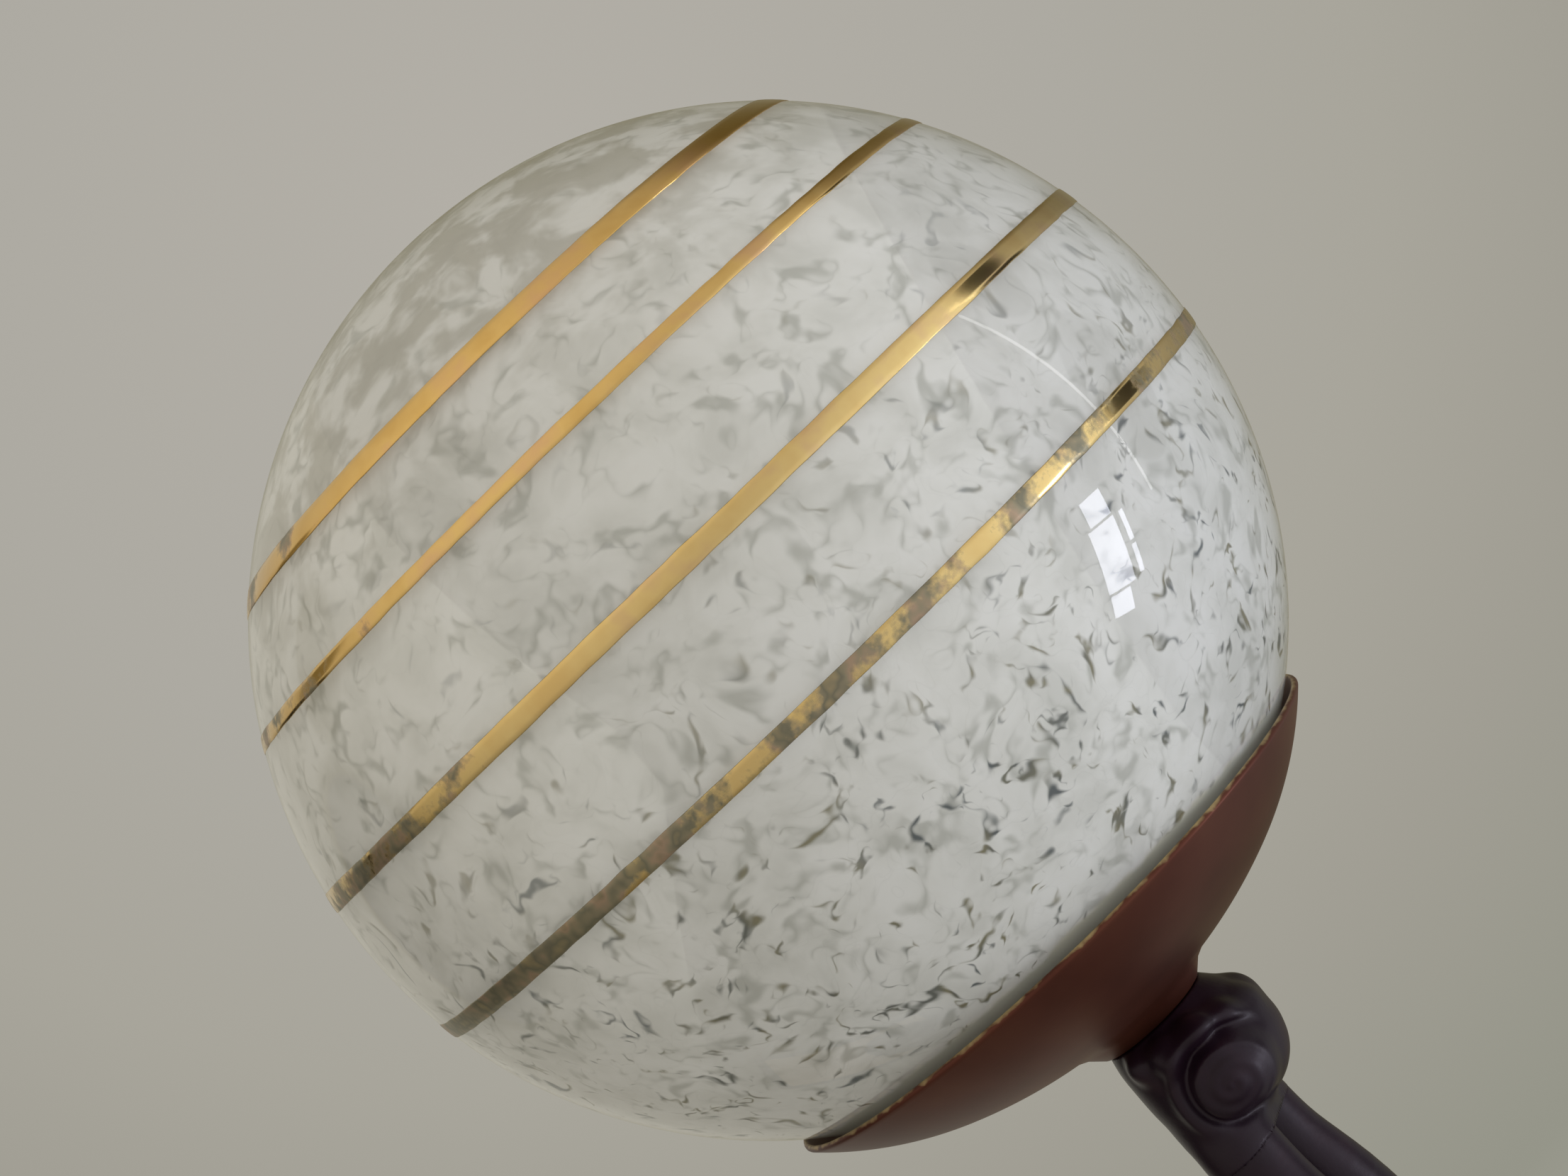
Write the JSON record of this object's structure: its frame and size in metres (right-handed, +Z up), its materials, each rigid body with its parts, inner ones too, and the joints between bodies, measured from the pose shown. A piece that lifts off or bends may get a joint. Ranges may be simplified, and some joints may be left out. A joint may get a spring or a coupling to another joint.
{
  "type": "figural table lamp",
  "caption": "Cast figure in a long gown lifts a gilt-banded glass globe on a spun dish above a stepped stone base.",
  "frame": {"origin": "centre of the base's underside", "axes": "+Z up; -X is the way the figure faces and leans the globe; +Y is the figure's right"},
  "size_m": [0.3011, 0.15, 0.6082],
  "materials": {
    "felt": "dark green baize felt",
    "dark_stone": "polished dark marble with fine pale veins",
    "pale_stone": "polished beige marble with brown veins",
    "zinc_steel": "zinc-plated steel thread",
    "bakelite": "moulded dark brown phenolic",
    "brass": "turned and pressed brass, lightly aged",
    "porcelain": "glazed electrical porcelain",
    "patinated_cast": "cast white metal with a dark brown-purple bronze patina",
    "coppered_brass": "spun brass with copper-brown lacquer, bare at the rim",
    "cork": "pressed cork ring",
    "bulb_metal": "rolled screw cap",
    "opal_glass": "opal white bulb glass",
    "frit_glass": "clear blown glass over mottled white frit",
    "gilding": "burnished hand-painted gilt, a little worn",
    "flex_sheath": "twisted twin flex in a gold sheath"
  },
  "bodies": {
    "stand": {"base_pad": "felt", "base_slab": "dark_stone", "base_step": "pale_stone", "tie_rod": "zinc_steel", "tie_washer": "zinc_steel", "tie_nut": "zinc_steel", "cable_bush": "bakelite", "bush_nut": "bakelite", "switch_body": "bakelite", "switch_ring": "brass", "terminal_block": "porcelain", "gown": "patinated_cast", "bodice": "patinated_cast", "head": "patinated_cast", "left_arm": "patinated_cast", "right_arm": "patinated_cast", "hands": "patinated_cast", "dish": "coppered_brass", "nipple": "zinc_steel", "dish_spacer": "brass", "spring_gallery": "brass", "nipple_nut": "brass", "globe_gasket": "cork", "holder_cap": "bakelite", "holder_core": "porcelain", "holder_contact": "brass", "holder_thread": "brass", "holder_sleeve": "bakelite", "inner_flex": "flex_sheath"},
    "globe": {"globe": "frit_glass", "gilt_bands": "gilding"},
    "bulb": {"bulb_cap": "bulb_metal", "bulb_glass": "opal_glass", "bulb_contact": "brass"},
    "button": {"switch_button": "brass"}
  },
  "joints": [
    {"name": "globe_lift", "type": "slide", "parent": "stand", "child": "globe", "axis": [-0.7193, 0, 0.6947], "range_m": [0, 0.1]},
    {"name": "bulb_turn", "type": "hinge", "parent": "stand", "child": "bulb", "pos_m": [-0.05, 0, 0.477], "axis": [-0.7193, 0, 0.6947], "range_deg": [0, 360]},
    {"name": "switch_press", "type": "slide", "parent": "stand", "child": "button", "axis": [-1, 0, 0], "range_m": [0, 0.003], "stiffness_N_per_m": 300}
  ]
}
